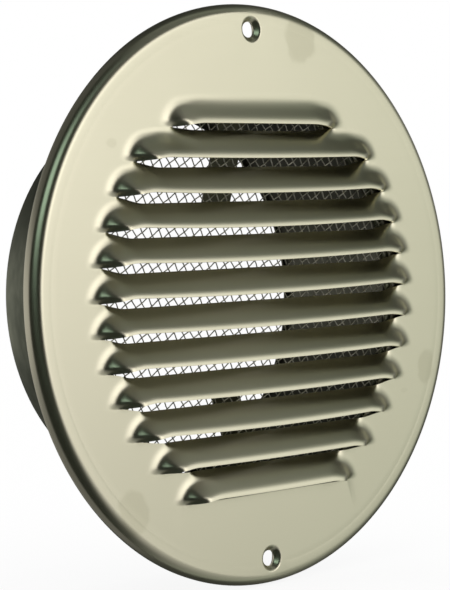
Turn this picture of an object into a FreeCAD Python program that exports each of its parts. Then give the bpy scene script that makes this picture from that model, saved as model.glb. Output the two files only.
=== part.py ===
import FreeCAD, Part
import math
import os
import Sketcher
from FreeCAD import Placement, Rotation, Vector

# Round vent cover: a pressed louvre plate, the collar crimped into its rim and the insect screen between them.
# Millimetres. X is to the right, Y goes back into the wall and Z is up.
# The origin is on the collar's axis, in the plane of the wall.

SIZES = {
    "flange_radius": 90.0,
    "plate_thickness": 0.8,
    "rim_corner_inside": 2.9,
    "rim_straight": 0.7,
    "rim_lip_width": 3.5,
    "screw_inset": 8.0,
    "screw_hole_radius": 2.4,
    "dimple_radius": 4.2,
    "dimple_depth": 1.6,
    "louvre_field_height": 124.0,
    "louvre_field_radius": 66.9,
    "louvre_field_drop": 2.1,
    "louvre_end_row_half": 35.7,
    "louvre_pitch": 10.27,
    "louvre_gap": 2.2,
    "louvre_web": 0.5,
    "louvre_height": 5.0,
    "louvre_lip_land": 0.8,
    "louvre_root_radius": 2.0,
    "collar_radius": 62.0,
    "collar_thickness": 0.7,
    "collar_reach": 44.0,
    "collar_edge_land": 1.6,
    "foot_bend_outside": 0.6,
    "foot_clearance": 0.7,
    "foot_hole_clearance": 0.3,
    "tongue_width": 12.0,
    "tongue_length": 34.0,
    "tongue_kerf": 0.4,
    "tongue_bend_inside": 1.0,
    "tongue_turn": 71.0,
    "tongue_setback": 2.0,
    "screen_seat": 4.0,
    "screen_hem": 3.0,
    "screen_pitch": 14.0,
    "screen_wire": 0.5,
    "screen_turn": 30.0,
}

# The wider bends in the sheet are drawn as this many flats, and the tight ones as one.
RIM_CHORDS = 3
CROWN_CHORDS = 3
END_CHORDS = 3
TONGUE_CHORDS = 3


class Size:
    """A length with the expression that gives it, so that a sketch can be drawn and bound from one formula."""

    def __init__(self, value, text):
        self.value = value
        self.text = text

    @staticmethod
    def of(other):
        return other if isinstance(other, Size) else Size(float(other), repr(float(other)))

    def __add__(self, other):
        other = Size.of(other)
        return Size(self.value + other.value, f"({self.text} + {other.text})")

    def __sub__(self, other):
        other = Size.of(other)
        return Size(self.value - other.value, f"({self.text} - {other.text})")

    def __mul__(self, other):
        other = Size.of(other)
        return Size(self.value * other.value, f"({self.text} * {other.text})")

    def __truediv__(self, other):
        other = Size.of(other)
        return Size(self.value / other.value, f"({self.text} / {other.text})")

    def __neg__(self):
        return Size(-self.value, f"(-{self.text})")

    def root(self):
        return Size(math.sqrt(self.value), f"sqrt({self.text})")

    def cosine(self):
        return Size(math.cos(math.radians(self.value)), f"cos({self.text} * 1deg)")

    def sine(self):
        return Size(math.sin(math.radians(self.value)), f"sin({self.text} * 1deg)")


doc = FreeCAD.newDocument("vent_cover")
sheet = doc.addObject("Spreadsheet::Sheet", "Sizes")
for line, (alias, number) in enumerate(SIZES.items(), start=1):
    sheet.set(f"A{line}", alias)
    sheet.set(f"B{line}", str(number))
    sheet.setAlias(f"B{line}", alias)
doc.recompute()


def size(alias):
    return Size(float(sheet.get(alias)), f"Sizes.{alias}")


def origin_plane(body, role):
    return next(feature for feature in body.Origin.OriginFeatures if feature.Role == role)


def new_sketch(body, name, role, offset=None, turn=None):
    """A sketch on one of the body's own planes, set off along the plane's normal and turned in it."""
    sketch = body.newObject("Sketcher::SketchObject", name)
    sketch.AttachmentSupport = (origin_plane(body, role), [""])
    sketch.MapMode = "FlatFace"
    if offset is not None:
        sketch.setExpression("AttachmentOffset.Base.z", offset.text)
    if turn is not None:
        sketch.AttachmentOffset = Placement(Vector(), Rotation(Vector(0, 0, 1), turn.value))
        sketch.setExpression("AttachmentOffset.Rotation.Angle", turn.text)
    return sketch


def bind(sketch, kind, *where):
    """Adds a dimension to a sketch and binds it to the sheet."""
    *geometry, length = where
    index = sketch.addConstraint(Sketcher.Constraint(kind, *geometry, length.value))
    sketch.setExpression(f"Constraints[{index}]", length.text)


def place_point(sketch, edge, point, across, along):
    """Fixes a point of an edge (1 its start, 2 its end, 3 its centre) from the sketch's origin; 0 is on the axis."""
    for kind, axis, length in (("DistanceX", -2, across), ("DistanceY", -1, along)):
        if isinstance(length, Size):
            bind(sketch, kind, -1, 1, edge, point, length)
        else:
            sketch.addConstraint(Sketcher.Constraint("PointOnObject", edge, point, axis))


def bend(across, along, radius, start, turn, chords=1):
    """The corners of a bend in a sheet: its centre, its radius, the angle it starts at and how far it turns."""
    angles = [Size.of(start) + Size.of(turn) * (step / chords) for step in range(chords + 1)]
    return [(across + radius * angle.cosine(), along + radius * angle.sine()) for angle in angles]


def draw_outline(sketch, corners):
    """A closed outline of straight lines. Each corner is (across, along)."""
    points = [Vector(Size.of(across).value, Size.of(along).value, 0) for across, along in corners]
    for start, end in zip(points, points[1:] + points[:1]):
        sketch.addGeometry(Part.LineSegment(start, end))
    for index, corner in enumerate(corners):
        after = (index + 1) % len(corners)
        sketch.addConstraint(Sketcher.Constraint("Coincident", index, 2, after, 1))
        place_point(sketch, index, 1, *corner)


def draw_circle(sketch, across, along, radius):
    """A circle about a place measured from the sketch's origin, or about the origin itself for zeros."""
    centre = Vector(Size.of(across).value, Size.of(along).value, 0)
    index = sketch.addGeometry(Part.Circle(centre, Vector(0, 0, 1), radius.value))
    place_point(sketch, index, 3, across, along)
    bind(sketch, "Radius", index, radius)


def revolve(body, name, sketch):
    """Turns a profile once round the sketch's upright axis."""
    turned = body.newObject("PartDesign::Revolution", name)
    turned.Profile = sketch
    turned.ReferenceAxis = (sketch, ["V_Axis"])
    turned.Angle = 360
    return turned


# The plate's levels: its front face, its back face and the front of the rim's turned-in lip.
plate_thickness = size("plate_thickness")
rim_corner = size("rim_corner_inside") + plate_thickness
rim_depth = rim_corner + size("rim_straight") + plate_thickness
flange_radius = size("flange_radius")
screw_level = flange_radius - size("screw_inset")
plate_front = -rim_depth
plate_back = plate_front + plate_thickness


# The dish: the flat disc with its rounded corner, turned back and then in over the collar's foot.
def make_dish():
    body = doc.addObject("PartDesign::Body", "dish")
    profile = new_sketch(body, "dish_profile", "XY_Plane")
    lip_inner = flange_radius - size("rim_lip_width")
    corner_centre = (flange_radius - rim_corner, plate_front + rim_corner)
    turn_centre = (flange_radius - plate_thickness, -plate_thickness)
    draw_outline(profile, [
        (0, plate_front),
        *bend(*corner_centre, rim_corner, -90, 90, RIM_CHORDS),
        *bend(*turn_centre, plate_thickness, 0, 90),
        (lip_inner, 0),
        (lip_inner, -plate_thickness),
        turn_centre,
        *bend(*corner_centre, size("rim_corner_inside"), 0, -90, RIM_CHORDS),
        (0, plate_back),
    ])
    revolve(body, "dish_turned", profile)
    return body


# A dimple: the plate pressed in as a cone round a screw hole, so that a countersunk head sits in it.
def make_dimple(name, side):
    body = doc.addObject("PartDesign::Body", name)
    profile = new_sketch(body, f"{name}_profile", "XY_Plane")
    hole = size("screw_hole_radius")
    rim = size("dimple_radius")
    depth = size("dimple_depth")
    draw_outline(profile, [
        (hole, plate_front + depth),
        (rim, plate_front),
        (rim, plate_back),
        (hole, plate_back + depth),
    ])
    revolve(body, f"{name}_turned", profile)
    body.setExpression("Placement.Base.z", (screw_level * side).text)
    return body


# The louvres. Each is a hood: a cross-section drawn straight along X, and turned a quarter round at both ends.
# Its lip stands forward and parallel to the plate, and a slot with sloping ends opens below the lip.
pitch = size("louvre_pitch").value
gap = size("louvre_gap").value
hood_rise = pitch - gap - size("louvre_web").value
hood_height = size("louvre_height").value
field_drop = size("louvre_field_drop").value
row_count = int(size("louvre_field_height").value // pitch)
END_ANGLES = [math.pi / 2 * step / END_CHORDS for step in range(END_CHORDS + 1)]


def lip_level(row):
    """The height of a row's lip; the rows are counted from the top."""
    cell_top = (row_count / 2 - row) * pitch - field_drop
    return cell_top - (pitch - gap)


def half_length(row):
    """Half of a row's length. The rows end on a circle, and the first and the last are cut alike."""
    if row in (0, row_count - 1):
        return size("louvre_end_row_half").value
    from_centre = lip_level(row) + field_drop
    return math.sqrt(size("louvre_field_radius").value ** 2 - from_centre ** 2)


def hood_section():
    """The hood's cross-section as (forward, up) corners: up the outer face to the plate, and down the inner one."""
    land = size("louvre_lip_land").value
    root = size("louvre_root_radius").value
    arc_rise = hood_rise - land
    turn = 2 * math.atan2(hood_height, arc_rise)
    crown = arc_rise / math.sin(turn) - root
    crown_angles = [turn * step / CROWN_CHORDS for step in range(CROWN_CHORDS + 1)]

    def face(depth):
        """One face of the sheet: the lip's land, a convex bend, then a flat that runs out into the plate."""
        convex = [
            (hood_height - crown + (crown - depth) * math.cos(angle), land + (crown - depth) * math.sin(angle))
            for angle in crown_angles
        ]
        return [(hood_height - depth, 0.0)] + convex + [(-depth, hood_rise)]

    return face(0.0) + face(plate_thickness.value)[::-1]


def flat(corners):
    """The flat face between these corners, or none where they fall together on an axis."""
    apart = [corner for index, corner in enumerate(corners) if (corner - corners[index - 1]).Length > 1e-6]
    return [Part.Face(Part.makePolygon(apart + apart[:1]))] if len(apart) > 2 else []


def end_place(row, side, angle, forward, up):
    """A corner of a row's section, once it is turned by an angle round the row's end."""
    straight = half_length(row) - hood_rise
    across = side * (straight + up * math.sin(angle))
    return Vector(across, plate_front.value - forward, lip_level(row) + up * math.cos(angle))


def hood(row):
    """A louvre's sheet: the section drawn straight along X, and turned a quarter round in flats at both ends."""
    section = hood_section()
    stations = [(-1, angle) for angle in reversed(END_ANGLES)] + [(1, angle) for angle in END_ANGLES]
    rings = [[end_place(row, side, angle, *corner) for corner in section] for side, angle in stations]
    faces = flat(rings[0]) + flat(rings[-1])
    for ring, after in zip(rings, rings[1:]):
        for index in range(len(section)):
            faces += flat([ring[index - 1], ring[index], after[index], after[index - 1]])
    shell = Part.makeShell(faces)
    shell.sewShape()
    solid = Part.makeSolid(shell)
    if solid.Volume < 0:
        solid.reverse()
    return solid


def slot(row):
    """The prism that is taken out of the plate for a louvre: the hood's outline and the slot below its lip."""
    straight = half_length(row) - hood_rise
    slot_level = lip_level(row) - gap
    corners = [Vector(side * straight, plate_front.value, slot_level) for side in (-1, 1)]
    corners += [end_place(row, 1, angle, 0.0, hood_rise) for angle in reversed(END_ANGLES)]
    corners += [end_place(row, -1, angle, 0.0, hood_rise) for angle in END_ANGLES]
    face = Part.Face(Part.makePolygon(corners + corners[:1]))
    return face.extrude(Vector(0, plate_thickness.value, 0))


def make_louvre_plate():
    dish = make_dish()
    dimples = [make_dimple("upper_dimple", 1), make_dimple("lower_dimple", -1)]
    holes = [
        Part.makeCylinder(size("dimple_radius").value, plate_thickness.value,
                          Vector(0, plate_front.value, side * screw_level.value), Vector(0, 1, 0))
        for side in (1, -1)
    ]
    cutouts = doc.addObject("Part::Feature", "cutouts")
    cutouts.Shape = Part.makeCompound([slot(row) for row in range(row_count)] + holes)
    pierced = doc.addObject("Part::Cut", "pierced_dish")
    pierced.Base = dish
    pierced.Tool = cutouts
    hoods = []
    for row in range(row_count):
        louvre = doc.addObject("Part::Feature", f"louvre_{row + 1:02d}")
        louvre.Shape = hood(row)
        hoods.append(louvre)
    plate = doc.addObject("Part::MultiFuse", "louvre_plate")
    plate.Shapes = [pierced] + dimples + hoods
    plate.Label = "louvre_plate"
    return plate


# The collar: the foot lies on the rim's lip, the wall goes back into the duct and the rear edge is turned in.
# Two tongues are cut out of the wall, above and below, and folded in.
collar_radius = size("collar_radius")
collar_thickness = size("collar_thickness")
foot_back = -plate_thickness
foot_front = foot_back - collar_thickness
foot_bend = size("foot_bend_outside")
foot_radius = flange_radius - plate_thickness - size("foot_clearance")
collar_inner = collar_radius - collar_thickness
collar_reach = size("collar_reach")
tongue_start = foot_back + foot_bend + size("tongue_setback")


def draw_collar_profile(profile):
    edge_inner = collar_inner - size("collar_edge_land")
    edge_centre = (collar_inner, collar_reach - collar_thickness)
    foot_centre = (collar_radius + foot_bend, foot_back + foot_bend)
    draw_outline(profile, [
        (foot_radius, foot_front),
        (foot_radius, foot_back),
        *bend(*foot_centre, foot_bend, -90, -90),
        *bend(*edge_centre, collar_thickness, 0, 90),
        (edge_inner, collar_reach),
        (edge_inner, collar_reach - collar_thickness),
        edge_centre,
        *bend(*foot_centre, foot_bend + collar_thickness, -180, 90),
    ])


def draw_tongue_profile(profile):
    """A tongue from the side: its root in the wall, the bend, and the straight leaf that leans back."""
    half_width = size("tongue_width") / 2
    outer = (collar_radius * collar_radius - half_width * half_width).root()
    inner = outer - collar_thickness
    bend_inside = size("tongue_bend_inside")
    bend_centre = (tongue_start, inner - bend_inside)
    turn = size("tongue_turn")
    leaf = size("tongue_length")
    root = tongue_start - size("tongue_setback")
    lower_face = bend(*bend_centre, bend_inside, 90, -turn, TONGUE_CHORDS)
    upper_face = bend(*bend_centre, bend_inside + collar_thickness, 90, -turn, TONGUE_CHORDS)
    tips = [
        (across + leaf * turn.cosine(), along - leaf * turn.sine())
        for across, along in (lower_face[-1], upper_face[-1])
    ]
    draw_outline(profile, [(root, inner), *lower_face, *tips, *upper_face[::-1], (root, outer)])


def make_collar():
    body = doc.addObject("PartDesign::Body", "collar")
    body.Label = "collar"
    profile = new_sketch(body, "collar_profile", "XY_Plane")
    draw_collar_profile(profile)
    revolve(body, "collar_turned", profile)

    window = new_sketch(body, "tongue_window", "XY_Plane")
    side = size("tongue_width") / 2 + size("tongue_kerf")
    window_end = tongue_start + size("tongue_length") + size("tongue_kerf")
    draw_outline(window, [
        (-side, tongue_start), (side, tongue_start), (side, window_end), (-side, window_end)])
    windows = body.newObject("PartDesign::Pocket", "tongue_windows")
    windows.Profile = window
    windows.Type = 1
    windows.Midplane = True

    leaf = new_sketch(body, "tongue_profile", "YZ_Plane")
    draw_tongue_profile(leaf)
    tongue = body.newObject("PartDesign::Pad", "upper_tongue")
    tongue.Profile = leaf
    tongue.setExpression("Length", size("tongue_width").text)
    tongue.Midplane = True
    doc.recompute()
    lower = body.newObject("PartDesign::Mirrored", "lower_tongue")
    lower.Originals = [tongue]
    lower.MirrorPlane = (origin_plane(body, "XY_Plane"), [""])
    body.Tip = lower

    holes = new_sketch(body, "foot_hole_places", "XZ_Plane")
    for hole_side in (1, -1):
        draw_circle(holes, 0, screw_level * hole_side, size("screw_hole_radius") + size("foot_hole_clearance"))
    foot_holes = body.newObject("PartDesign::Pocket", "foot_holes")
    foot_holes.Profile = holes
    foot_holes.Type = 1
    foot_holes.Midplane = True
    return body


# The insect screen: two layers of straight wires crossing at a slant, with a hem that lies on the collar's foot.
def make_insect_screen():
    body = doc.addObject("PartDesign::Body", "insect_screen")
    body.Label = "insect_screen"
    wire = size("screen_wire")
    spacing = size("screen_pitch")
    radius = collar_radius + foot_bend + size("screen_seat")
    hem_inner = radius - size("screen_hem")
    steps = int(hem_inner.value // spacing.value)

    layers = [
        ("rear_wires", -foot_front, size("screen_turn")),
        ("front_wires", wire - foot_front, size("screen_turn") + 90),
    ]
    for name, offset, turn in layers:
        outline = new_sketch(body, f"{name}_outline", "XZ_Plane", offset=offset, turn=turn)
        first = -(spacing * steps)
        draw_outline(outline, [
            (-radius, first - wire / 2), (radius, first - wire / 2),
            (radius, first + wire / 2), (-radius, first + wire / 2)])
        pad = body.newObject("PartDesign::Pad", name)
        pad.Profile = outline
        pad.setExpression("Length", wire.text)
        doc.recompute()
        row = body.newObject("PartDesign::LinearPattern", f"{name}_row")
        row.Originals = [pad]
        row.Direction = (outline, ["V_Axis"])
        row.setExpression("Length", (spacing * (2 * steps)).text)
        row.Occurrences = 2 * steps + 1
        body.Tip = row

    trim_sketch = new_sketch(body, "trim_outline", "XZ_Plane")
    draw_circle(trim_sketch, 0, 0, radius - size("screen_hem") / 2)
    draw_circle(trim_sketch, 0, 0, radius * 2)
    trim = body.newObject("PartDesign::Pocket", "trim")
    trim.Profile = trim_sketch
    trim.Type = 1
    trim.Midplane = True

    hem_sketch = new_sketch(body, "hem_outline", "XZ_Plane", offset=-foot_front)
    draw_circle(hem_sketch, 0, 0, radius)
    draw_circle(hem_sketch, 0, 0, hem_inner)
    hem = body.newObject("PartDesign::Pad", "hem")
    hem.Profile = hem_sketch
    hem.setExpression("Length", (wire * 2).text)
    return body


nodes = [make_louvre_plate(), make_collar(), make_insect_screen()]
doc.recompute()

for item in doc.Objects:
    if "Invalid" in item.State or "Error" in item.State:
        raise RuntimeError(f"{item.Name} did not build: {item.State}")
for node in nodes:
    if node.Shape.isNull() or not node.Shape.isValid():
        raise RuntimeError(f"{node.Label} has no valid shape")

os.makedirs("parts", exist_ok=True)
for node in nodes:
    node.Shape.exportStep(f"parts/{node.Label}.step")
    print(node.Label, len(node.Shape.Solids), "solid", round(node.Shape.Volume / 1000, 3), "cm3")
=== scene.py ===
import math

import bmesh
import bpy
from mathutils import Matrix, Vector
from mathutils.geometry import delaunay_2d_cdt


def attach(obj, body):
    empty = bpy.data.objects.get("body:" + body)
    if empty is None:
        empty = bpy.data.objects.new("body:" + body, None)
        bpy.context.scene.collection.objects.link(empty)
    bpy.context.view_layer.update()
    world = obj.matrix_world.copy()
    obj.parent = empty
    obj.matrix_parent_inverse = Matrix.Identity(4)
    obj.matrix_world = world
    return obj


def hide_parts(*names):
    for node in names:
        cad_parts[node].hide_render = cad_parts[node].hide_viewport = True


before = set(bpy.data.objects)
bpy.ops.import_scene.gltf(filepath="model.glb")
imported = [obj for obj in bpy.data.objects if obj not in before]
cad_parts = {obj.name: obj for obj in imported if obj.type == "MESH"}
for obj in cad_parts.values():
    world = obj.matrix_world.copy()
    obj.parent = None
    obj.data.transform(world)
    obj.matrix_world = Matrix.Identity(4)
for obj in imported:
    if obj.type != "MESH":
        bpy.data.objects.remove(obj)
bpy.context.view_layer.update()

# The collar: a tube of thin stainless sheet that goes back into the duct. Its front end is turned out into a broad
# foot, over which the plate's rim is crimped. Its rear edge is folded in, and two tongues are cut out of its wall and
# bent in, which leaves a window behind each of them.
MM = 0.001
COLLAR_THICKNESS = 0.7
COLLAR_RADIUS = 62.0
COLLAR_REACH = 43.995
COLLAR_EDGE_INNER = 59.7
REAR_BEND = 0.9
REAR_BEND_STEPS = 5
FOOT_BACK = -0.8
FOOT_BEND = 0.6
FOOT_BEND_STEPS = 4
FOOT_INNER = 64.0
FOOT_MIDDLE = 76.0
FOOT_RADIUS = 88.5
FOOT_RINGS = 3
FOOT_STEPS = 192
FOOT_STEP_START = 0.008
FOOT_HOLE_RADIUS = 4.5
FOOT_HOLE_STEPS = 32
SCREW_LEVEL = 82.0
TONGUE_HALF = 6.0
TONGUE_KERF = 0.4
TONGUE_START = 1.8
TONGUE_LENGTH = 34.0
TONGUE_BEND = 1.7
TONGUE_TURN = math.radians(71)
TONGUE_COLUMNS = 8
TONGUE_BEND_ROWS = 6
TONGUE_ROWS = 8
WINDOW_ROWS = 6
WALL_COLUMNS = 72
COLLAR_SHARP = 35
WELD = 0.002
LOOP_TOLERANCE = 1e-7


class Sheet:
    """One face of a sheet-metal piece in millimetres, which is gathered in patches, welded and then thickened."""

    def __init__(self, name):
        self.name = name
        self.points = []
        self.faces = []

    def grid(self, rows, keep=lambda row, column: True):
        """Quads between neighbouring rows of points."""
        first = len(self.points)
        width = len(rows[0])
        for row in rows:
            self.points += row
        for row in range(len(rows) - 1):
            for column in range(width - 1):
                if keep(row, column):
                    corner = first + row * width + column
                    self.faces.append((corner, corner + 1, corner + width + 1, corner + width))

    def turned(self, profile, angles, keep):
        """A profile of (radius, depth) turned about the Y axis."""
        self.grid([[(radius * math.sin(angle), depth, radius * math.cos(angle)) for angle in angles]
                   for radius, depth in profile], keep)

    def flat(self, depth_at, loops, inside):
        """The sheet between closed loops of (across, up) points, where inside says so."""
        spots = []
        edges = []
        for loop in loops:
            first = len(spots)
            spots += [Vector(spot) for spot in loop]
            edges += [(first + index, first + (index + 1) % len(loop)) for index in range(len(loop))]
        places, _, triangles, *_ = delaunay_2d_cdt(spots, edges, [], 0, LOOP_TOLERANCE)
        first = len(self.points)
        self.points += [(place.x, depth_at(place.x, place.y), place.y) for place in places]
        for triangle in triangles:
            middle = sum((places[index] for index in triangle), Vector((0, 0))) / 3
            if inside(middle.x, middle.y):
                self.faces.append(tuple(first + index for index in triangle))

    def finish(self, thickness, facing, sharp):
        """Welds the patches, gives the sheet its thickness behind this face, and returns the object."""
        built = bmesh.new()
        corners = [built.verts.new(Vector(point) * MM) for point in self.points]
        for face in self.faces:
            if len({tuple(round(value, 6) for value in self.points[index]) for index in face}) > 2:
                built.faces.new([corners[index] for index in face])
        bmesh.ops.remove_doubles(built, verts=built.verts, dist=WELD * MM)
        bmesh.ops.delete(built, geom=[vert for vert in built.verts if not vert.link_faces], context="VERTS")
        bmesh.ops.recalc_face_normals(built, faces=built.faces)
        if max(built.faces, key=lambda face: face.calc_area()).normal.dot(Vector(facing)) < 0:
            bmesh.ops.reverse_faces(built, faces=built.faces)
        skin = bpy.data.meshes.new(f"{self.name}_skin")
        built.to_mesh(skin)
        built.free()
        piece = bpy.data.objects.new(self.name, skin)
        bpy.context.scene.collection.objects.link(piece)
        thick = piece.modifiers.new("thickness", "SOLIDIFY")
        thick.thickness = thickness * MM
        thick.offset = -1
        thick.use_even_offset = True
        made = piece.evaluated_get(bpy.context.evaluated_depsgraph_get())
        mesh = bpy.data.meshes.new_from_object(made)
        piece.modifiers.clear()
        piece.data = mesh
        bpy.data.meshes.remove(skin)
        mesh.polygons.foreach_set("use_smooth", [True] * len(mesh.polygons))
        mesh.set_sharp_from_angle(angle=math.radians(sharp))
        return piece


def circle(radius, angles, centre=0.0):
    """The (across, up) points of a circle about a centre that is raised to a height."""
    return [(radius * math.sin(angle), centre + radius * math.cos(angle)) for angle in angles]


def even(start, end, count):
    """Evenly spaced values from start to end, with both of them."""
    return [start + (end - start) * step / count for step in range(count + 1)]


def arc(radius_centre, depth_centre, bend, start, end, count):
    """A bend of a turned profile; the angle is measured from the outward radius towards the rear."""
    return [(radius_centre + bend * math.cos(angle), depth_centre + bend * math.sin(angle))
            for angle in even(start, end, count)]


tongue_angle = math.asin(TONGUE_HALF / COLLAR_RADIUS)
window_angle = math.asin((TONGUE_HALF + TONGUE_KERF) / COLLAR_RADIUS)
tongue_columns = even(-tongue_angle, tongue_angle, TONGUE_COLUMNS)
upper_columns = [-window_angle, *tongue_columns, window_angle]
half_turn = upper_columns + even(window_angle, math.pi - window_angle, WALL_COLUMNS)[1:-1]
collar_angles = half_turn + [angle + math.pi for angle in half_turn] + [2 * math.pi - window_angle]
window_columns = len(upper_columns) - 1
window_starts = (0, len(half_turn))

window_end = TONGUE_START + TONGUE_LENGTH + TONGUE_KERF
wall_rows = even(TONGUE_START, window_end, WINDOW_ROWS)
foot_bend = arc(COLLAR_RADIUS + FOOT_BEND, FOOT_BACK + FOOT_BEND, FOOT_BEND, -math.pi / 2, -math.pi, FOOT_BEND_STEPS)
rear_fold = arc(COLLAR_RADIUS - REAR_BEND, COLLAR_REACH - REAR_BEND, REAR_BEND, 0, math.pi / 2, REAR_BEND_STEPS)
collar_profile = [(radius, FOOT_BACK) for radius in even(FOOT_MIDDLE, FOOT_INNER, FOOT_RINGS)] + foot_bend
first_wall_row = len(collar_profile)
collar_profile += [(COLLAR_RADIUS, row) for row in wall_rows]
collar_profile += rear_fold + [(COLLAR_EDGE_INNER, COLLAR_REACH)]


def is_wall(row, column):
    """False in the two windows that the tongues leave."""
    in_window_rows = first_wall_row <= row < first_wall_row + len(wall_rows) - 1
    return not (in_window_rows and any(start <= column < start + window_columns for start in window_starts))


collar_sheet = Sheet("collar_tube")
collar_sheet.turned(collar_profile, collar_angles, keep=is_wall)
tongue_rows = [(TONGUE_START + TONGUE_BEND * math.sin(turn), TONGUE_BEND * (1 - math.cos(turn)))
               for turn in even(0, TONGUE_TURN, TONGUE_BEND_ROWS)]
bend_depth, bend_inward = tongue_rows[-1]
tongue_rows += [(bend_depth + length * math.cos(TONGUE_TURN), bend_inward + length * math.sin(TONGUE_TURN))
                for length in even(0, TONGUE_LENGTH, TONGUE_ROWS)[1:]]
for side in (1, -1):
    collar_sheet.grid([
        [(side * COLLAR_RADIUS * math.sin(angle), depth, side * (COLLAR_RADIUS * math.cos(angle) - inward))
         for angle in tongue_columns]
        for depth, inward in tongue_rows
    ])

foot_angles = even(FOOT_STEP_START, 2 * math.pi + FOOT_STEP_START, FOOT_STEPS)[:-1]
hole_angles = even(0, 2 * math.pi, FOOT_HOLE_STEPS)[:-1]
foot_loops = [circle(FOOT_RADIUS, foot_angles), circle(FOOT_MIDDLE, collar_angles[:-1])]
foot_loops += [circle(FOOT_HOLE_RADIUS, hole_angles, side * SCREW_LEVEL) for side in (1, -1)]
collar_sheet.flat(lambda across, up: FOOT_BACK, foot_loops, lambda across, up: (
    math.hypot(across, up) > FOOT_MIDDLE
    and math.hypot(across, up - SCREW_LEVEL) > FOOT_HOLE_RADIUS
    and math.hypot(across, up + SCREW_LEVEL) > FOOT_HOLE_RADIUS))
collar = collar_sheet.finish(COLLAR_THICKNESS, (0, 1, 0), COLLAR_SHARP)


class Value:
    """A socket of a finish's nodes, so that shader maths reads as arithmetic."""

    def __init__(self, finish, socket):
        self.finish = finish
        self.socket = socket

    def _math(self, operation, first, second):
        return self.finish.node("ShaderNodeMath", {"operation": operation}, {0: first, 1: second})

    def __add__(self, other):
        return self._math("ADD", self, other)

    def __sub__(self, other):
        return self._math("SUBTRACT", self, other)

    def __rsub__(self, other):
        return self._math("SUBTRACT", other, self)

    def __mul__(self, other):
        return self._math("MULTIPLY", self, other)

    __radd__ = __add__
    __rmul__ = __mul__


class Finish:
    """A material and its nodes."""

    def __init__(self, name, holder=None):
        self.holder = holder or bpy.data.materials.new(name)
        self.holder.use_nodes = True
        self.tree = self.holder.node_tree
        self.tree.nodes.clear()

    def node(self, kind, settings, inputs, output=0):
        """Adds a node: its type, its settings, then the values or links of its sockets."""
        made = self.tree.nodes.new(kind)
        for name, setting in settings.items():
            setattr(made, name, setting)
        for name, value in inputs.items():
            if isinstance(value, Value):
                self.tree.links.new(value.socket, made.inputs[name])
            else:
                made.inputs[name].default_value = value
        return Value(self, made.outputs[output]) if made.outputs else None

    def place(self, scale):
        """Where on the piece, in metres, stretched by a scale along each axis."""
        where = self.node("ShaderNodeTexCoord", {}, {}, "Object")
        return self.node("ShaderNodeVectorMath", {"operation": "MULTIPLY"}, {0: where, 1: scale})

    def noise(self, scale, detail=3.0, roughness=0.55):
        return self.node("ShaderNodeTexNoise", {}, {
            "Vector": self.place(scale), "Scale": 1.0, "Detail": detail, "Roughness": roughness})

    def between(self, value, low, high):
        """0 at low and below, 1 at high and above, and smooth between."""
        return self.node("ShaderNodeMapRange", {"interpolation_type": "SMOOTHSTEP"}, {
            "Value": value, "From Min": low, "From Max": high})

    def mix(self, factor, first, second):
        return self.node("ShaderNodeMix", {"data_type": "RGBA"}, {0: factor, 6: first, 7: second}, 2)

    def metal(self, colour, roughness, bump_height, bump_depth, settings=None):
        """The metal's shader, joined to the output."""
        normal = self.node("ShaderNodeBump", {}, {"Height": bump_height, "Strength": 1.0, "Distance": bump_depth})
        shader = self.node("ShaderNodeBsdfPrincipled", {}, {
            "Base Color": colour, "Roughness": roughness, "Metallic": 1.0, "Normal": normal, **(settings or {})})
        self.node("ShaderNodeOutputMaterial", {}, {"Surface": shader})


COLLAR_GREY = (0.33, 0.345, 0.255, 1)
COLLAR_DULL = (0.19, 0.205, 0.15, 1)
# Painted shade: a darker colour for the collar's inner wall, rear fold and bent-in tongues, where the duct lies in
# shade.
COLLAR_INSIDE_SHADE = (0.125, 0.125, 0.092, 1)
COLLAR_BUMP = 0.06 * MM

collar_finish = Finish("dull_steel_shaded_inside")
clouding = collar_finish.noise((26, 60, 26), 4.0, 0.6)
rolling = collar_finish.noise((14, 900, 14), 2.0)
blotch = collar_finish.between(clouding, 0.38, 0.66)
off_axis = collar_finish.node("ShaderNodeVectorMath", {"operation": "LENGTH"}, {
    0: collar_finish.place((1, 0, 1))}, "Value")
# Painted shade: within the wall's radius the steel takes the darker inside colour instead of its grey and dull
# blotches.
outside = collar_finish.between(off_axis, (COLLAR_RADIUS - 0.6) * MM, (COLLAR_RADIUS - 0.1) * MM)
collar_finish.metal(
    collar_finish.mix(outside, COLLAR_INSIDE_SHADE, collar_finish.mix(blotch, COLLAR_DULL, COLLAR_GREY)),
    0.30 + 0.16 * (1 - blotch) + 0.06 * rolling,
    rolling * 0.5 + clouding, COLLAR_BUMP)
collar.data.materials.append(collar_finish.holder)
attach(collar, "root")
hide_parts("collar")

# The insect screen: plain-woven steel wire cloth cut to a round and hemmed with a folded steel tape.
# It lies on the collar's foot and is caught between the foot and the plate when the rim is crimped.
SCREEN_MIDDLE = -2.0
SCREEN_RADIUS = 66.6
HEM_WIDTH = 3.0
WIRE_PITCH = 2.9
WIRE_RADIUS = 0.2
WIRE_SIDES = 6
WIRE_TURN = math.radians(30)
WIRE_SHARP = 70
CRIMP = 0.22
HEM_ROUND = 0.45
HEM_STEPS = 128
HEM_BEND_STEPS = 6

wire_points = []
wire_faces = []


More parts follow.
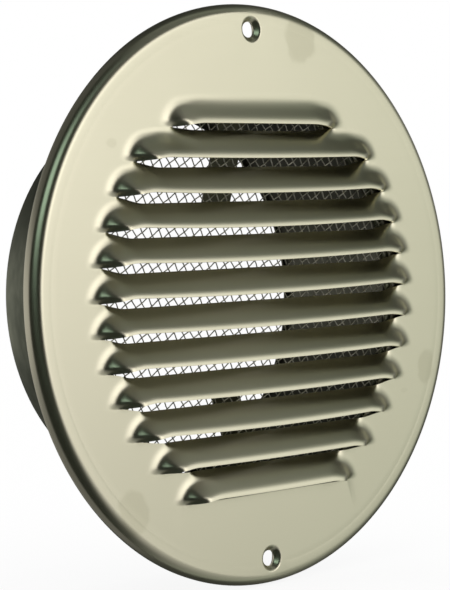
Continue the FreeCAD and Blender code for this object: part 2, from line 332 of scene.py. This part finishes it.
def weave_wire(offset, turn, over):
    """One wire of the cloth: a tube that rises and falls over the wires it crosses, from hem to hem."""
    reach = math.sqrt((SCREEN_RADIUS - HEM_WIDTH / 2) ** 2 - offset ** 2)
    count = max(2, round(2 * reach / (WIRE_PITCH / 2)))
    for along in even(-reach, reach, count):
        height = over * CRIMP * math.cos(math.pi * along / WIRE_PITCH)
        first = len(wire_points)
        for side in range(WIRE_SIDES):
            angle = 2 * math.pi * side / WIRE_SIDES
            across = offset + WIRE_RADIUS * math.cos(angle)
            wire_points.append((along * math.cos(turn) - across * math.sin(turn),
                                SCREEN_MIDDLE + height + WIRE_RADIUS * math.sin(angle),
                                along * math.sin(turn) + across * math.cos(turn)))
        if along > -reach:
            for side in range(WIRE_SIDES):
                after = (side + 1) % WIRE_SIDES
                wire_faces.append((first + side, first + after,
                                   first + after - WIRE_SIDES, first + side - WIRE_SIDES))
        else:
            wire_faces.append(tuple(first + side for side in range(WIRE_SIDES)))
    wire_faces.append(tuple(first + WIRE_SIDES - 1 - side for side in range(WIRE_SIDES)))


wires_each_side = int((SCREEN_RADIUS - HEM_WIDTH) // WIRE_PITCH)
for wire in range(-wires_each_side, wires_each_side + 1):
    lift = 1 if wire % 2 else -1
    weave_wire(wire * WIRE_PITCH, WIRE_TURN, lift)
    weave_wire(wire * WIRE_PITCH, WIRE_TURN + math.pi / 2, -lift)

hem_angles = even(0, 2 * math.pi, HEM_STEPS)[:-1]
hem_section = [(SCREEN_RADIUS - HEM_ROUND + HEM_ROUND * math.cos(turn), HEM_ROUND * math.sin(turn))
               for turn in even(-math.pi / 2, math.pi / 2, HEM_BEND_STEPS)]
hem_section += [(SCREEN_RADIUS - HEM_WIDTH + HEM_ROUND + HEM_ROUND * math.cos(turn), HEM_ROUND * math.sin(turn))
                for turn in even(math.pi / 2, 3 * math.pi / 2, HEM_BEND_STEPS)]
first_hem = len(wire_points)
for angle in hem_angles:
    wire_points += [(radius * math.sin(angle), SCREEN_MIDDLE + depth, radius * math.cos(angle))
                    for radius, depth in hem_section]
for ring in range(len(hem_angles)):
    this_ring = first_hem + ring * len(hem_section)
    next_ring = first_hem + (ring + 1) % len(hem_angles) * len(hem_section)
    for spot in range(len(hem_section)):
        after = (spot + 1) % len(hem_section)
        wire_faces.append((this_ring + spot, this_ring + after, next_ring + after, next_ring + spot))

screen_mesh = bpy.data.meshes.new("wire_cloth")
screen_mesh.from_pydata([Vector(point) * MM for point in wire_points], [], wire_faces)
screen_mesh.polygons.foreach_set("use_smooth", [True] * len(screen_mesh.polygons))
screen_mesh.set_sharp_from_angle(angle=math.radians(WIRE_SHARP))
screen = bpy.data.objects.new("wire_screen", screen_mesh)
bpy.context.scene.collection.objects.link(screen)

WIRE_STEEL = (0.68, 0.665, 0.56, 1)
WIRE_DULL = (0.45, 0.44, 0.36, 1)
WIRE_BUMP = 0.03 * MM

wire_finish = Finish("drawn_wire")
tarnish = wire_finish.noise((160, 160, 160), 3.0)
drawing = wire_finish.noise((900, 900, 900), 2.0)
wire_finish.metal(
    wire_finish.mix(wire_finish.between(tarnish, 0.4, 0.65), WIRE_DULL, WIRE_STEEL),
    0.32 + 0.16 * tarnish, drawing, WIRE_BUMP)
screen.data.materials.append(wire_finish.holder)
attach(screen, "root")
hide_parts("insect_screen")

# The louvre plate: one disc of brushed stainless sheet. Twelve rows are slit and pressed out into hoods, each strip
# between two slits tilting from its pressed-in upper edge to its forward lip, and the rim is turned back and in over
# the collar's foot.
PLATE_FRONT = -5.2
PLATE_THICKNESS = 0.8
FLANGE_RADIUS = 89.97
ROW_COUNT = 12
ROW_PITCH = 10.27
FIRST_CUT = 51.6
FIELD_RADIUS = 66.9
FIELD_DROP = 1.95
FIELD_MARGIN_TOP = 0.5
FIELD_MARGIN_SIDE = 0.8
END_ROW_HALF = 35.7
LIP_HEIGHT = 4.9
FIRST_LIP_HEIGHT = 3.3
LIP_RISE_ENDS = 1.15
LIP_SAG_SHARE = 0.8
LIP_RISE_MIDDLE = (1.2, 0.8, 0.35, 0.2, 0.2, 0.25, 0.4, 0.45, 0.5, 0.4, 0.85, 0.95)
SLOT_DROP = (0.8, 1.7, 2.0, 1.9, 1.9, 1.8, 1.7, 1.7, 1.6, 1.2, 0.6, 0.0)
SLOT_TAPER = 12.0
HOOD_RISE = 10.0
HOOD_END = 10.0
HOOD_FOOT = 5.0
HOOD_ROUND = 12.0
LIP_END = 6.5
LIP_END_RISE = 2.2
BLADE_RECESS = 1.1
PRESS_REACH = 3.5
PRESS_SPREAD = 16.0
PRESS_INSET = 2.0
COLUMN_STEP = 1.0
ROW_STEPS = 22
ROW_CROWDING = 1.25
TABLE_STEPS = 240
PLATE_SHARP = 40


def ease(value):
    """0 at 0 and below, 1 at 1 and above, and smooth between."""
    value = min(max(value, 0.0), 1.0)
    return value * value * (3 - 2 * value)


def fall_table(slope):
    """The share of a height that is lost along a slope, as a table from 0 to 1."""
    lost = [0.0]
    for index in range(TABLE_STEPS):
        lost.append(lost[-1] + slope((index + 0.5) / TABLE_STEPS))
    return [value / lost[-1] for value in lost]


def read(table, share):
    """A table's value at a share from 0 to 1."""
    place = min(max(share, 0.0), 1.0) * TABLE_STEPS
    index = min(int(place), TABLE_STEPS - 1)
    return table[index] + (table[index + 1] - table[index]) * (place - index)


# Above its lip a hood has a tight crest and a slope that runs out into a long foot. Its ends are steeper domes with a
# drawn skirt round them, and the lip comes down to the end of its slit. A blade between two slits grows steeper from
# its crest to its upper edge.
hood_fall = fall_table(lambda share: (0.12 + 0.88 * ease(share / 0.3)) * ease((1 - share) / 0.7))
end_fall = fall_table(lambda share: (0.12 + 0.88 * ease(share / 0.2)) * ease((1 - share) / 0.3)
                      * (0.3 + 0.7 * ease((0.68 - share) / 0.14)))
lip_fall = fall_table(lambda share: (0.12 + 0.88 * ease(share / 0.3)) * ease((1 - share) / 0.3))
blade_fall = fall_table(lambda share: 0.10 + 0.60 * ease(share / 0.34) + 0.30 * share)


def cut_level(row):
    """The height of a row's slit."""
    return FIRST_CUT - row * ROW_PITCH


FIELD_TOP = cut_level(0) + LIP_RISE_MIDDLE[0] + HOOD_RISE + FIELD_MARGIN_TOP


def half_length(row):
    """Half the length of a row's slit: the rows follow a circle, and the first and last are cut short."""
    if row in (0, ROW_COUNT - 1):
        return END_ROW_HALF
    return math.sqrt(FIELD_RADIUS ** 2 - (cut_level(row) + FIELD_DROP) ** 2)


def lip_level(row, across):
    """The lip rises from its cut, and the long rows sag back to it along the middle."""
    half = half_length(row)
    middle = LIP_RISE_MIDDLE[row]
    rise = middle + (LIP_RISE_ENDS - middle) * min(across / half / LIP_SAG_SHARE, 1.0, key=abs) ** 2
    return cut_level(row) + rise * ease((half - abs(across)) / SLOT_TAPER)


def upper_level(row, across):
    """The upper edge of a row's strip: the lower side of the slot above it."""
    if row == 0:
        return FIELD_TOP
    return cut_level(row - 1) - SLOT_DROP[row - 1] * ease((half_length(row - 1) - abs(across)) / SLOT_TAPER)


def past_end(row, across, foot, length):
    """How far into the row's round end a place is: 0 before it and 1 at its foot."""
    return min(max(abs(across) - half_length(row) - foot + length, 0.0) / length, 1.0)


def blade_point(row, across, share):
    """A point of a row's strip: share is 0 at its lip and 1 at its upper edge."""
    low = lip_level(row, across)
    level = low + (upper_level(row, across) - low) * share
    full = LIP_HEIGHT if row else FIRST_LIP_HEIGHT
    lip_lost = read(lip_fall, past_end(row, across, 0.0, LIP_END))
    lip_height = full * (1 - lip_lost)
    rise = level - low
    past = past_end(row, across, HOOD_FOOT, HOOD_END)
    lost = read(end_fall, math.hypot(past, rise / HOOD_RISE))
    lost += (lip_lost - read(end_fall, past)) * (1 - ease(rise / LIP_END_RISE))
    lost += (read(hood_fall, rise / HOOD_RISE) - lost) * ease((half_length(row) - abs(across)) / HOOD_ROUND)
    height = full * (1 - min(lost, 1.0))
    if row > 0:
        inside = min(half_length(row - 1), half_length(row) - PRESS_INSET) - abs(across)
        pressed = ease(inside / (PRESS_REACH + PRESS_SPREAD * (1 - share)))
        blade = lip_height - (lip_height + BLADE_RECESS) * read(blade_fall, share)
        height += pressed * (blade - height)
    return (across, PLATE_FRONT - height, level)


def row_columns(row):
    """Where the columns of a row's strip stand: past the ends of its own slit and of the one above."""
    longest = max(half_length(row), half_length(max(row - 1, 0)))
    count = math.ceil((longest + HOOD_FOOT + FIELD_MARGIN_SIDE) / COLUMN_STEP)
    return [COLUMN_STEP * step for step in range(-count, count + 1)]


plate_sheet = Sheet("louvre_disc")
shares = [share ** ROW_CROWDING for share in even(0.0, 1.0, ROW_STEPS)]
for row in range(ROW_COUNT):
    plate_sheet.grid([[blade_point(row, across, share) for across in row_columns(row)] for share in shares])

right_side = []
for row in range(ROW_COUNT):
    edge = row_columns(row)[-1]
    right_side += [(edge, blade_point(row, edge, share)[2]) for share in reversed(shares)]
    if row + 1 < ROW_COUNT:
        step = COLUMN_STEP if row_columns(row + 1)[-1] > edge else -COLUMN_STEP
        for count in range(1, round(abs(row_columns(row + 1)[-1] - edge) / COLUMN_STEP)):
            right_side.append((edge + step * count, cut_level(row)))
field_loop = [(across, FIELD_TOP) for across in row_columns(0)[1:-1]] + right_side
field_loop += [(across, cut_level(ROW_COUNT - 1)) for across in reversed(row_columns(ROW_COUNT - 1)[1:-1])]
field_loop += [(-across, level) for across, level in reversed(right_side)]
field_loop = [spot for index, spot in enumerate(field_loop)
              if math.dist(spot, field_loop[index - 1]) > WELD]


def in_field(across, up):
    """True where the strips fill the plate."""
    if not cut_level(ROW_COUNT - 1) < up < FIELD_TOP:
        return False
    row = max(0, math.ceil((cut_level(0) - up) / ROW_PITCH))
    return abs(across) < row_columns(row)[-1]


# The rim: a faint draw line, a slight roll-off, the corner, a skirt that leans in, and the fold behind the foot.
ROLL_TURN = math.radians(2)
ROLL_RADIUS = 60.0
CORNER_TURN = math.radians(97)
CORNER_RADIUS = 3.55
SKIRT_LENGTH = 0.72
FOLD_RADIUS = 0.5
RIM_LIP_INNER = 86.5
DRAW_LINE = ((0.9, 0.0), (0.6, 0.012), (0.3, 0.0), (0.0, 0.0))
FLAT_RADIUS = 81.5
ROLL_STEPS = 6
CORNER_STEPS = 16
FOLD_STEPS = 6

rim_profile = [(FLAT_RADIUS, 0.0)]
roll_start = FLANGE_RADIUS - ROLL_RADIUS * math.sin(ROLL_TURN) - CORNER_RADIUS * (1 - math.sin(ROLL_TURN))
for inset, depth in DRAW_LINE:
    rim_profile.append((roll_start - inset, depth))


def bend_on(start, end, radius, count):
    """Goes on along the rim's profile round a bend between two angles."""
    for before, after in zip(even(start, end, count), even(start, end, count)[1:]):
        across, depth = rim_profile[-1]
        rim_profile.append((across + radius * (math.sin(after) - math.sin(before)),
                            depth + radius * (math.cos(before) - math.cos(after))))


bend_on(0.0, ROLL_TURN, ROLL_RADIUS, ROLL_STEPS)
roll_end = len(rim_profile)
bend_on(ROLL_TURN, CORNER_TURN, CORNER_RADIUS, CORNER_STEPS)
rim_profile.append((rim_profile[-1][0] + SKIRT_LENGTH * math.cos(CORNER_TURN),
                    rim_profile[-1][1] + SKIRT_LENGTH * math.sin(CORNER_TURN)))
bend_on(CORNER_TURN, math.pi, FOLD_RADIUS, FOLD_STEPS)
rim_profile.append((RIM_LIP_INNER, rim_profile[-1][1]))

# The two screw holes sit in pressed dimples that reach into the roll-off, so the rim leaves a bay for each of them.
RIM_STEPS = 256
BAY_STEPS = 5
DIMPLE_STEPS = 48
DIMPLE_EDGE = 4.4
DIMPLE_HOLE = 2.4
DIMPLE_PROFILE = ((DIMPLE_EDGE, 0.0), (4.32, 0.001), (4.15, 0.03), (3.95, 0.1), (3.7, 0.25), (3.4, 0.52),
                  (2.75, 1.32), (2.5, 1.56), (DIMPLE_HOLE, 1.6))
DIMPLE_CLEAR = DIMPLE_EDGE * 0.995
rim_angles = even(0, 2 * math.pi, RIM_STEPS)


def in_bay(column):
    """True for the columns of the rim above and below the screw holes."""
    return min(column % (RIM_STEPS // 2), -column % (RIM_STEPS // 2)) < BAY_STEPS


def rolled(across, up):
    """The plate's depth where it rolls off towards the rim."""
    radius = math.hypot(across, up)
    for (inner, near), (outer, far) in zip(rim_profile, rim_profile[1:roll_end]):
        if inner <= radius <= outer:
            return PLATE_FRONT + near + (far - near) * (radius - inner) / (outer - inner)
    return PLATE_FRONT if radius < FLAT_RADIUS else PLATE_FRONT + rim_profile[roll_end - 1][1]


plate_sheet.turned([(radius, PLATE_FRONT + depth) for radius, depth in rim_profile], rim_angles,
                   keep=lambda row, column: row >= roll_end - 1 or not (in_bay(column) and in_bay(column + 1)))
dimple_angles = even(0, 2 * math.pi, DIMPLE_STEPS)
for side in (1, -1):
    dimple_rows = []
    for radius, depth in DIMPLE_PROFILE:
        follow = ease((radius - DIMPLE_HOLE) / (DIMPLE_EDGE - DIMPLE_HOLE))
        dimple_rows.append([(across, PLATE_FRONT + depth + (rolled(across, up) - PLATE_FRONT) * follow, up)
                            for across, up in circle(radius, dimple_angles, side * SCREW_LEVEL)])
    plate_sheet.grid(dimple_rows)

outer_loop = []
for column in range(RIM_STEPS):
    if not in_bay(column):
        outer_loop += circle(FLAT_RADIUS, [rim_angles[column]])
    elif in_bay(column - 1) and in_bay(column + 1):
        outer_loop += circle(rim_profile[roll_end - 1][0], [rim_angles[column]])
    else:
        side_radii = [radius for radius, depth in rim_profile[:roll_end]]
        if in_bay(column - 1):
            side_radii.reverse()
        outer_loop += [circle(radius, [rim_angles[column]])[0] for radius in side_radii]
plate_loops = [outer_loop, field_loop]
plate_loops += [circle(DIMPLE_EDGE, dimple_angles[:-1], side * SCREW_LEVEL) for side in (1, -1)]


def on_plate(across, up):
    """True on the flat of the plate and in the rim's bays, outside the strips and the dimples."""
    if in_field(across, up) or math.hypot(across, abs(up) - SCREW_LEVEL) < DIMPLE_CLEAR:
        return False
    if math.hypot(across, up) < FLAT_RADIUS * math.cos(math.pi / RIM_STEPS):
        return True
    return abs(math.atan2(across, abs(up))) < 2 * math.pi * (BAY_STEPS - 1) / RIM_STEPS


plate_sheet.flat(rolled, plate_loops, on_plate)
plate = plate_sheet.finish(PLATE_THICKNESS, (0, -1, 0), PLATE_SHARP)

PLATE_STEEL = (0.80, 0.77, 0.575, 1)
PLATE_STAIN = (0.60, 0.575, 0.40, 1)
PLATE_ROUGHNESS = 0.30
PLATE_BRUSHED = {"Anisotropic": 0.7, "Anisotropic Rotation": 0.25}
BRUSH_DEPTH = 0.004 * MM
SMUDGES = ((22, 80, 7, 8, 1.0), (-56, -61, 7, 8, 1.0), (75.5, -27, 5, 7, 1.0),
           (-59, 46.8, 3, 2.4, 0.7), (64.7, -34.7, 2.2, 1.0, 0.5))
SMUDGE_RAGGED = 1.2

plate_finish = Finish("brushed_stainless")
brushing = plate_finish.noise((22, 400, 2600), 2.0)
cloud = plate_finish.noise((16, 16, 16), 3.0)
grime = plate_finish.noise((110, 110, 110), 2.0, 0.5)


def smudge(across, up, wide, high):
    """A soft-edged mark at a place on the plate, in millimetres."""
    where = plate_finish.place((1 / wide / MM, 0, 1 / high / MM))
    centre = (across / wide, 0, up / high)
    away = plate_finish.node("ShaderNodeVectorMath", {"operation": "DISTANCE"}, {0: where, 1: centre}, "Value")
    return 1 - plate_finish.between(away + SMUDGE_RAGGED * (grime - 0.5), 0.7, 1.0)


smudges = sum(strength * smudge(*spot) for *spot, strength in SMUDGES)
plate_finish.metal(
    plate_finish.mix(plate_finish.between(smudges * 0.34 + 0.12 * cloud, 0.0, 1.0), PLATE_STEEL, PLATE_STAIN),
    PLATE_ROUGHNESS + 0.05 * (brushing - 0.5) + 0.03 * smudges + 0.05 * (cloud - 0.5),
    brushing, BRUSH_DEPTH, PLATE_BRUSHED)
plate.data.materials.append(plate_finish.holder)
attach(plate, "root")
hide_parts("louvre_plate")

# The studio: a pale floor on a white ground, a soft box, and round it all a tent of cloth that glows in graded grey
# shades of its own and that only the steel's reflections show, as painted reflections: bright at the front right,
# dark at the left but for a cool window, grey behind.
FLOOR_LEVEL = -0.0903
FLOOR_HALF = 6
FLOOR_PAPER = (0.97, 0.97, 0.97, 1)
FLOOR_GLOW = 0.88
TENT_RADIUS = 1.7
TENT_RINGS = 24
WHITE = (1, 1, 1, 1)
TENT_WARM = (1.02, 0.995, 1.02)
TENT_DIM = (0.89, 1.0, 0.88)
TENT_WINDOW = (0.72, 1.0, 0.90)


def glow(finish, colour):
    """A shader that gives off a colour of its own."""
    return finish.node("ShaderNodeEmission", {}, {"Color": colour})


def panel(name, corners, faces, finish):
    """A stage piece of the studio."""
    mesh = bpy.data.meshes.new(name)
    mesh.from_pydata(corners, [], faces)
    mesh.materials.append(finish.holder)
    made = bpy.data.objects.new(name, mesh)
    bpy.context.scene.collection.objects.link(made)
    return made


floor_finish = Finish("pale_floor")
shown = sum(floor_finish.node("ShaderNodeLightPath", {}, {}, f"Is {kind} Ray")
            for kind in ("Camera", "Glossy", "Transmission"))
plain_floor = floor_finish.node("ShaderNodeBsdfDiffuse", {}, {"Color": FLOOR_PAPER})
floor_finish.node("ShaderNodeOutputMaterial", {}, {"Surface": floor_finish.node(
    "ShaderNodeMixShader", {}, {0: FLOOR_GLOW * shown, 1: plain_floor, 2: glow(floor_finish, WHITE)})})
floor_corners = [(FLOOR_HALF * across, FLOOR_HALF * along, FLOOR_LEVEL)
                 for across, along in ((-1, -1), (1, -1), (1, 1), (-1, 1))]
floor = panel("floor", floor_corners, [(0, 1, 2, 3)], floor_finish)
floor.visible_glossy = False

# The tent's glowing shades, painted reflections, are set by the way from the middle, in degrees: turn from the front
# to the right, rise and dip.
tent_finish = Finish("glowing_graded_tent")
way = tent_finish.node("ShaderNodeVectorMath", {"operation": "NORMALIZE"}, {0: tent_finish.place((1, 1, 1))})
way_right, way_back, way_up = (tent_finish.node("ShaderNodeSeparateXYZ", {}, {0: way}, axis) for axis in "XYZ")
degrees = math.degrees(1)
turn = degrees * tent_finish.node("ShaderNodeMath", {"operation": "ARCTAN2"}, {0: way_right, 1: -1 * way_back})
rise = degrees * tent_finish.node("ShaderNodeMath", {"operation": "ARCSINE"}, {0: way_up})
dip = -1 * rise
between = tent_finish.between
front_right = between(turn, -4, 20) * (1 - 0.92 * between(turn, 17, 73))
front_right = front_right * (1 - 0.95 * between(rise, 13, 32)) * (0.25 + 0.75 * between(rise, -22, 16))
front_right = front_right * (1 - 0.6 * between(dip, 20, 65))
dim_right = between(turn, 30, 62) * (1 - 0.92 * between(turn, 56, 86)) * (1 - between(turn, 100, 128))
dim_right = dim_right * (1 - 0.65 * between(rise, 12, 32)) * (1 + 0.4 * between(rise, 38, 50))
dim_right = dim_right * (1 - 0.6 * between(turn, 52, 66) * between(dip, -24, -4))
rear_side = (between(-1 * turn, 98, 114) + between(turn, 160, 175)) * (1 - 0.9 * between(rise, 4, 28))
rear_side = rear_side * (1 - 0.75 * between(dip, 4, 30))
glare = between(turn, 6, 18) * (1 - between(turn, 26, 38)) * between(rise, -2, 10) * (1 - between(rise, 20, 36))
window = between(turn, -78, -62) * (1 - between(turn, -36, -24)) * between(rise, 14, 28) * (1 - between(rise, 38, 54))
# Painted reflections: the tent gives off these shades itself, and the glare strip and the cool window are painted
# highlights for the steel.
cloth = (0.0, 0.0, 0.0)
for tint, strength in ((TENT_WARM, 1.86 * front_right + 0.48 * rear_side + 0.30 * glare),
                       (TENT_DIM, 0.025 + 0.36 * dim_right), (TENT_WINDOW, 0.85 * window)):
    light = tent_finish.node("ShaderNodeVectorMath", {"operation": "SCALE"}, {0: tint, "Scale": strength})
    cloth = tent_finish.node("ShaderNodeVectorMath", {"operation": "ADD"}, {0: cloth, 1: light})
tent_finish.node("ShaderNodeOutputMaterial", {}, {"Surface": glow(tent_finish, cloth)})
tent_corners = []
tent_faces = []
for level in even(-math.pi / 2, math.pi / 2, TENT_RINGS):
    for angle in even(0, 2 * math.pi, 2 * TENT_RINGS)[:-1]:
        tent_corners.append((TENT_RADIUS * math.cos(level) * math.sin(angle),
                             TENT_RADIUS * math.cos(level) * math.cos(angle), TENT_RADIUS * math.sin(level)))
for ring in range(TENT_RINGS):
    for step in range(2 * TENT_RINGS):
        corner = ring * 2 * TENT_RINGS
        after = (step + 1) % (2 * TENT_RINGS)
        tent_faces.append((corner + step, corner + after,
                           corner + 2 * TENT_RINGS + after, corner + 2 * TENT_RINGS + step))
tent = panel("tent", tent_corners, tent_faces, tent_finish)
for kind in ("camera", "diffuse", "shadow", "transmission"):
    setattr(tent, f"visible_{kind}", False)

soft_box = bpy.data.lights.new("soft_box", "AREA")
soft_box.shape = "RECTANGLE"
soft_box.size = 0.9
soft_box.size_y = 0.8
soft_box.energy = 2.0
soft_box.color = (1.0, 0.97, 0.92)
soft_box_object = bpy.data.objects.new("soft_box", soft_box)
bpy.context.scene.collection.objects.link(soft_box_object)
soft_box_object.visible_glossy = False
soft_box_object.location = (0.56, -1.35, 0.62)
soft_box_object.rotation_euler = (-soft_box_object.location).to_track_quat("-Z", "Y").to_euler()

world = bpy.data.worlds.new("studio")
bpy.context.scene.world = world
studio = Finish("studio", world)
studio.node("ShaderNodeOutputWorld", {}, {"Surface": studio.node("ShaderNodeBackground", {}, {"Color": WHITE})})
bpy.context.scene.view_settings.view_transform = "Standard"

# The camera stands at the left, a little above the middle, as in the photograph.
AZIMUTH = math.radians(-43.814)
ELEVATION = math.radians(1.57)
ROLL = math.radians(-2.248)
DISTANCE = 0.641258
TARGET = Vector((-0.015729, -0.0052, 0.000638))
FOCAL_PIXELS = 2106.645
IMAGE_HEIGHT = 590
SENSOR = 36.0

towards = Vector((math.sin(AZIMUTH) * math.cos(ELEVATION), -math.cos(AZIMUTH) * math.cos(ELEVATION),
                  math.sin(ELEVATION)))
level_right = (-towards).cross(Vector((0, 0, 1))).normalized()
level_up = level_right.cross(-towards)
right = math.cos(ROLL) * level_right + math.sin(ROLL) * level_up
up = math.cos(ROLL) * level_up - math.sin(ROLL) * level_right
lens = bpy.data.cameras.new("camera")
lens.sensor_width = SENSOR
lens.lens = FOCAL_PIXELS * SENSOR / IMAGE_HEIGHT
lens.clip_start = 0.01
camera = bpy.data.objects.new("camera", lens)
bpy.context.scene.collection.objects.link(camera)
camera_turn = Matrix((right, up, towards)).transposed().to_4x4()
camera.matrix_world = Matrix.Translation(TARGET + towards * DISTANCE) @ camera_turn
bpy.context.scene.camera = camera
